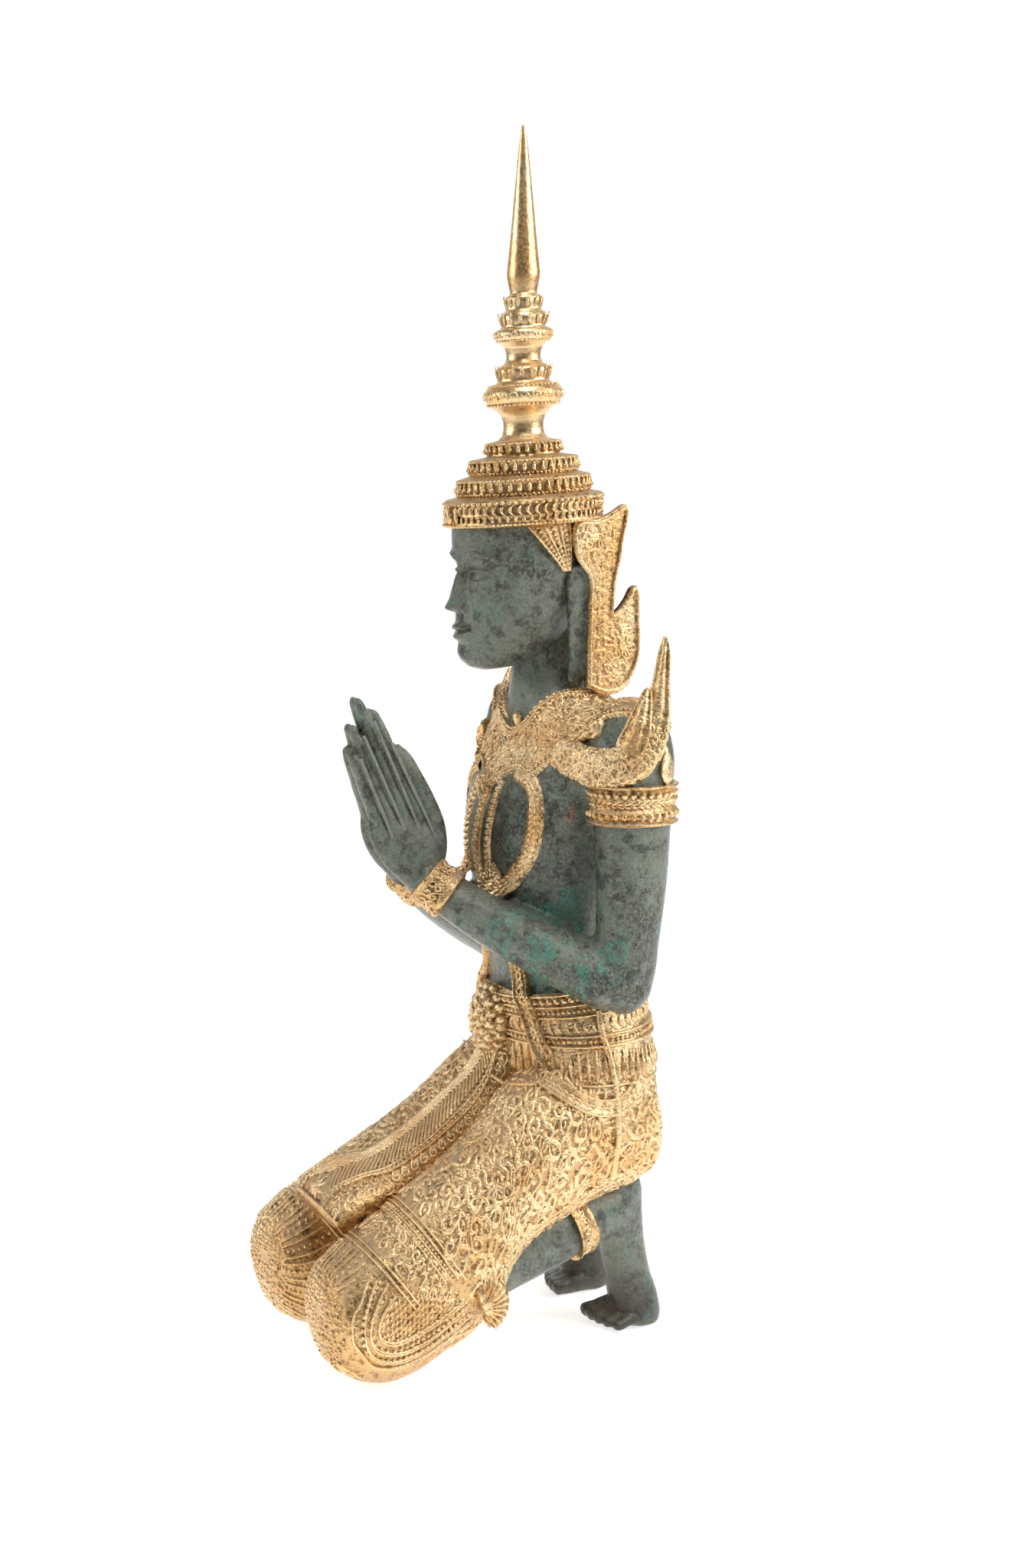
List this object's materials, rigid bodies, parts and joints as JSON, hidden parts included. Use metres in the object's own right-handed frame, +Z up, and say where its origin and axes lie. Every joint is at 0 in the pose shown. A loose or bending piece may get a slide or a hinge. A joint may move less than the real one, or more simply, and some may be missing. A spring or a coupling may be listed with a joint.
{
  "type": "kneeling figure statue",
  "caption": "Kneeling figure in prayer with a tall stepped crown, court dress and winged shoulders, cast in patinated and gilded bronze; it stands on its knees and toes.",
  "frame": {"origin": "on the floor, under the centre of the bounding box", "axes": "+Z up; the figure faces -Y and its left hand is on +X"},
  "size_m": [0.1682, 0.1968, 0.6],
  "materials": {
    "gilded_bronze": "cast bronze, worn gilding on the dress and crown, green patina on the skin"
  },
  "bodies": {
    "root": {"kneeling_figure": "gilded_bronze"}
  },
  "joints": []
}
